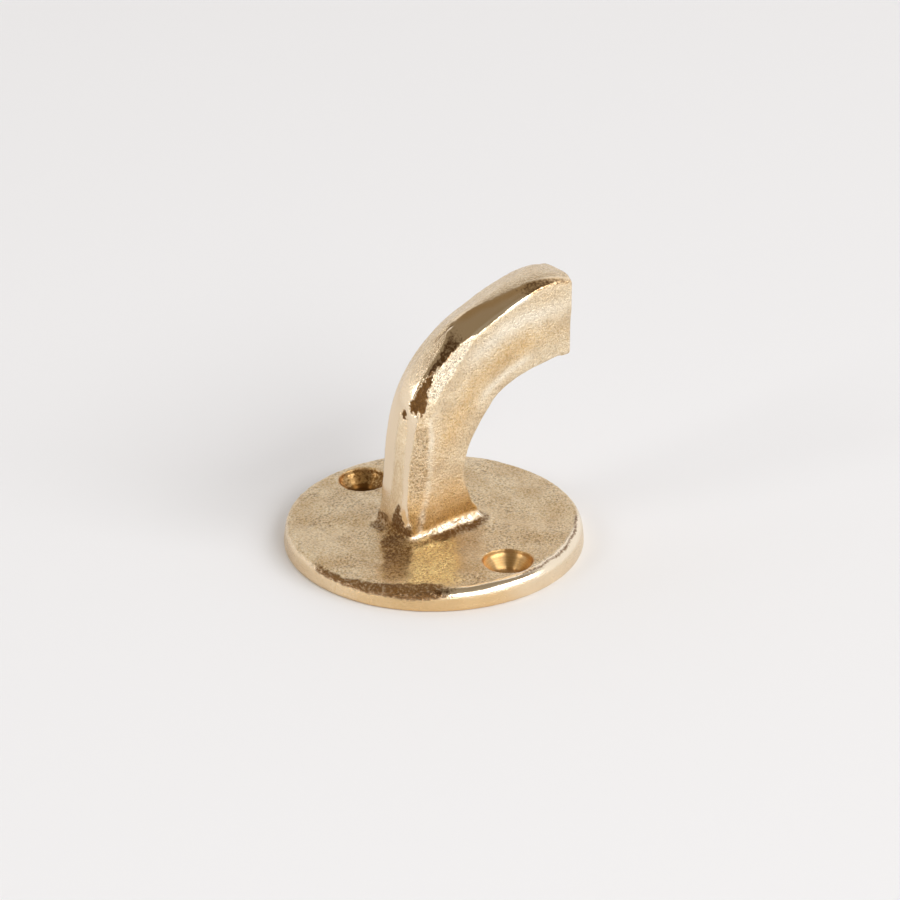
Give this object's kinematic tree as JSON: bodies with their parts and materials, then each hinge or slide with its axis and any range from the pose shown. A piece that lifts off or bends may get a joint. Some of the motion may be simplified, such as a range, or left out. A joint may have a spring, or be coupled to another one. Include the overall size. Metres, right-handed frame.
{
  "type": "towel hook",
  "caption": "Cast wall hook: a round plate with countersunk screw holes and a short elbow arm that bends over at a right angle to hold a towel.",
  "frame": {"origin": "centre of the wall plate's flat back", "axes": "+Z out of the wall along the plate's axis, +X the way the arm bends over, Y along the line through the two screw holes"},
  "size_m": [0.0519, 0.05, 0.0428],
  "materials": {
    "cast_brass": "sand cast, with the back of the arm, the plate's edge and the screw seats polished"
  },
  "bodies": {
    "root": {"hook_casting": "cast_brass"}
  },
  "joints": []
}
